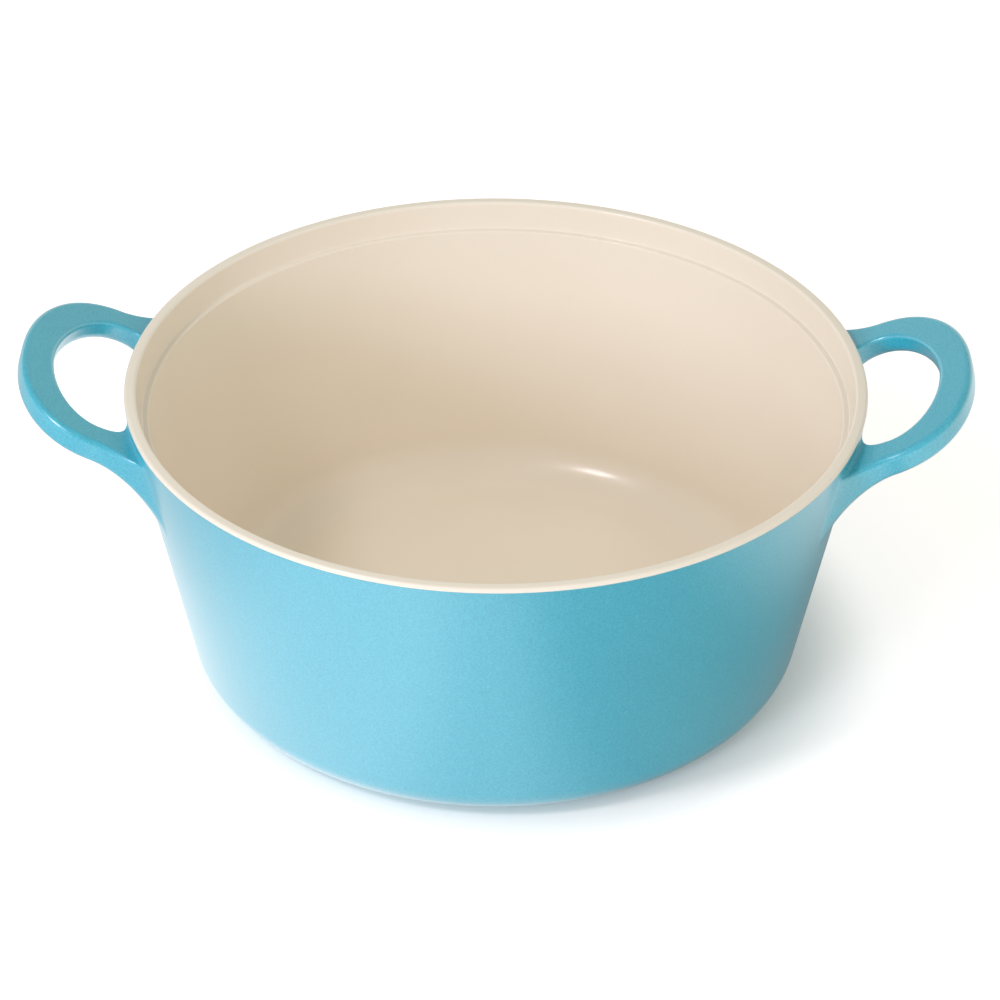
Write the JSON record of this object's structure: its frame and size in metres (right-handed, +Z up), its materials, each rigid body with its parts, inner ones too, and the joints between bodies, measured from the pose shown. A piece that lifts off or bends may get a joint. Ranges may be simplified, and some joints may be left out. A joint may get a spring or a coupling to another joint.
{
  "type": "casserole pot",
  "caption": "Round straight-sided casserole pot with loop handles cast in one with the wall, a lid ledge inside the rim, blue lacquer outside and a cream ceramic coat inside.",
  "frame": {"origin": "centre of the plane that the foot ring stands on", "axes": "+Z up along the pot's axis, X through both handles"},
  "size_m": [0.3074, 0.2394, 0.1125],
  "materials": {
    "bare_aluminium": "turned cast aluminium, satin",
    "blue_lacquer": "glossy sky-blue lacquer with a fine grain",
    "cream_ceramic": "satin cream ceramic coat"
  },
  "bodies": {
    "root": {"body_casting": "bare_aluminium", "outer_coating": "blue_lacquer", "inner_coating": "cream_ceramic", "left_handle": "blue_lacquer", "right_handle": "blue_lacquer"}
  },
  "joints": []
}
